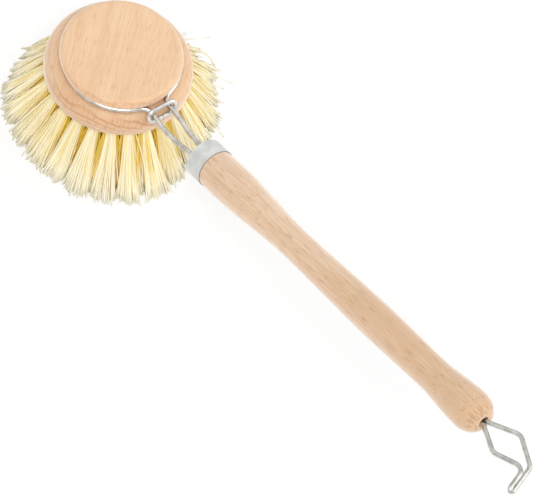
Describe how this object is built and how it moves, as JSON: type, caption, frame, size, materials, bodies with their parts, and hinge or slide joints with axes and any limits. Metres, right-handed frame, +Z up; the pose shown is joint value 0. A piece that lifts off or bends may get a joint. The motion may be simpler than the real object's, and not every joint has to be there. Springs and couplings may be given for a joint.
{
  "type": "dish brush",
  "caption": "Dish brush with a turned wooden handle, a round replaceable wooden head of fanned plant-fibre tufts in a spring-wire clamp, a sliding wire link and a wire hanging hook.",
  "frame": {"origin": "centre of the bristle tips, on the axis of the head, where the brush stands", "axes": "+Z up the axis of the head, +X out along the handle seen from above, +Y to the left of the handle seen from the head"},
  "size_m": [0.2422, 0.0718, 0.0883],
  "materials": {
    "beech_handle": "bare turned beech, fine sanded, short dark flecks along the grain",
    "beech_block": "bare turned beech, fine sanded, growth rings on the rim",
    "ferrule_metal": "matt zinc-plated sheet, lightly mottled",
    "spring_wire": "drawn spring wire, plated, half bright",
    "link_wire": "plated wire, bright",
    "hook_wire": "drawn wire, plated, half bright",
    "anchor_wire": "flat stapling wire",
    "plant_fibre": "pale plant fibre, straight stiff strands cut level"
  },
  "bodies": {
    "head": {"brush_block": "beech_block", "block_knob": "beech_block", "tuft_anchors": "anchor_wire", "outer_tuft_01": "plant_fibre", "outer_tuft_02": "plant_fibre", "outer_tuft_03": "plant_fibre", "outer_tuft_04": "plant_fibre", "outer_tuft_05": "plant_fibre", "outer_tuft_06": "plant_fibre", "outer_tuft_07": "plant_fibre", "outer_tuft_08": "plant_fibre", "outer_tuft_09": "plant_fibre", "outer_tuft_10": "plant_fibre", "outer_tuft_11": "plant_fibre", "outer_tuft_12": "plant_fibre", "outer_tuft_13": "plant_fibre", "outer_tuft_14": "plant_fibre", "outer_tuft_15": "plant_fibre", "outer_tuft_16": "plant_fibre", "outer_tuft_17": "plant_fibre", "outer_tuft_18": "plant_fibre", "outer_tuft_19": "plant_fibre", "outer_tuft_20": "plant_fibre", "outer_tuft_21": "plant_fibre", "outer_tuft_22": "plant_fibre", "outer_tuft_23": "plant_fibre", "outer_tuft_24": "plant_fibre", "middle_tuft_01": "plant_fibre", "middle_tuft_02": "plant_fibre", "middle_tuft_03": "plant_fibre", "middle_tuft_04": "plant_fibre", "middle_tuft_05": "plant_fibre", "middle_tuft_06": "plant_fibre", "middle_tuft_07": "plant_fibre", "middle_tuft_08": "plant_fibre", "middle_tuft_09": "plant_fibre", "middle_tuft_10": "plant_fibre", "middle_tuft_11": "plant_fibre", "middle_tuft_12": "plant_fibre", "middle_tuft_13": "plant_fibre", "middle_tuft_14": "plant_fibre", "middle_tuft_15": "plant_fibre", "middle_tuft_16": "plant_fibre", "inner_tuft_01": "plant_fibre", "inner_tuft_02": "plant_fibre", "inner_tuft_03": "plant_fibre", "inner_tuft_04": "plant_fibre", "inner_tuft_05": "plant_fibre", "inner_tuft_06": "plant_fibre", "inner_tuft_07": "plant_fibre", "inner_tuft_08": "plant_fibre", "centre_tuft": "plant_fibre"},
    "handle": {"handle": "beech_handle", "ferrule": "ferrule_metal", "clamp_wire": "spring_wire", "hanging_hook": "hook_wire"},
    "link": {"slide_link": "link_wire"}
  },
  "joints": [
    {"name": "head_swivel", "type": "hinge", "parent": "head", "child": "handle", "pos_m": [0, 0, 0.03235], "axis": [0, 0, 1], "continuous": true},
    {"name": "link_slide", "type": "slide", "parent": "handle", "child": "link", "axis": [0.9997, 0, 0.0262], "range_m": [0, 0.012]}
  ]
}
